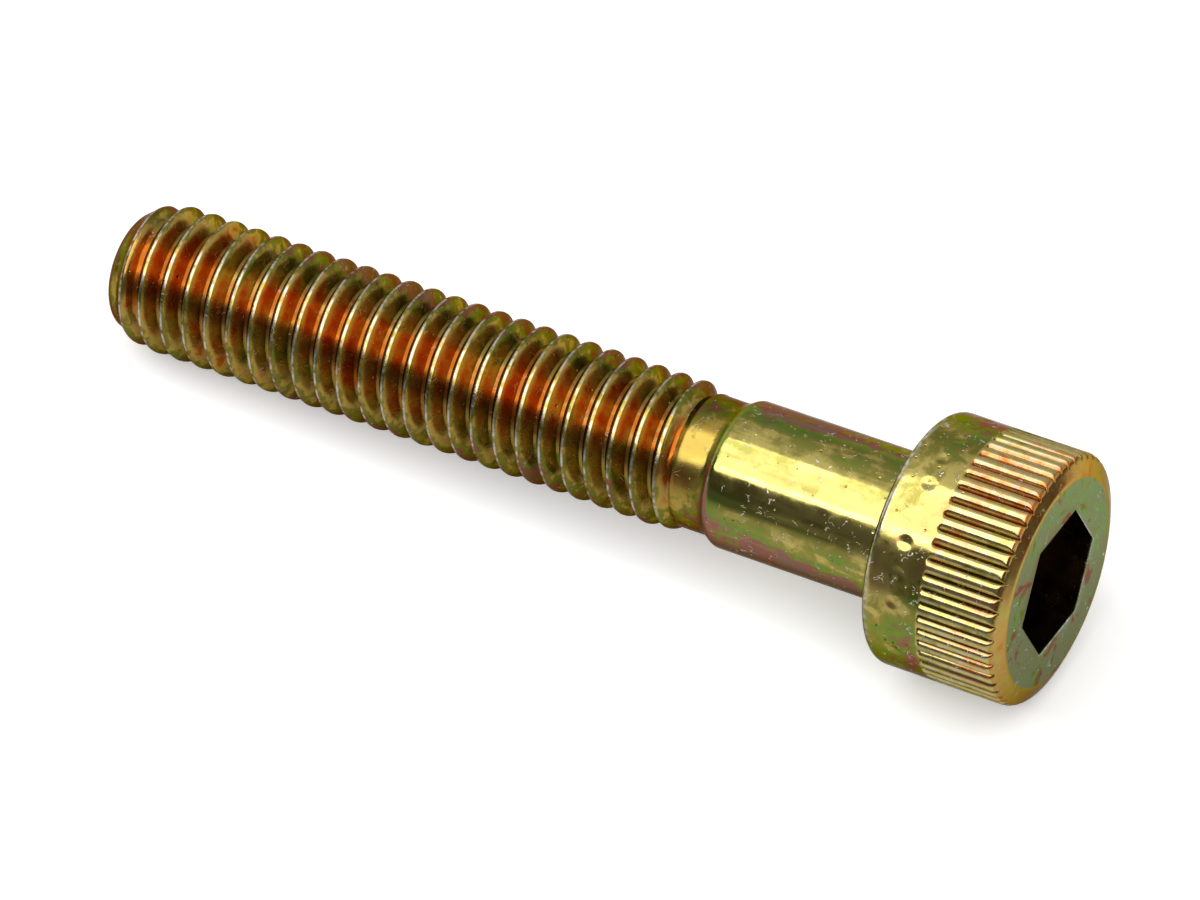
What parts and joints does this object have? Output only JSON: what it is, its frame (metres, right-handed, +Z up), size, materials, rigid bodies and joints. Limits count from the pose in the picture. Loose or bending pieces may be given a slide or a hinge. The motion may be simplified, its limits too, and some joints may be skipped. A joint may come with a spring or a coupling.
{
  "type": "hex socket cap screw",
  "caption": "Cylinder head screw with a knurled head, a hexagon socket and a partly threaded stem, yellow zinc plated.",
  "frame": {"origin": "centre of the bottom of the screw's box, on the surface that it lies on", "axes": "+X along the screw towards its head, in the vertical plane of its axis, and +Z up. The axis falls 3.51 degrees towards the tip, as the screw lies on its head's rim and the thread by its tip"},
  "size_m": [0.041, 0.01, 0.0103],
  "materials": {
    "plated_steel": "yellow zinc plating, shiny, with a green and pink sheen"
  },
  "bodies": {
    "root": {"socket_cap_screw": "plated_steel"}
  },
  "joints": []
}
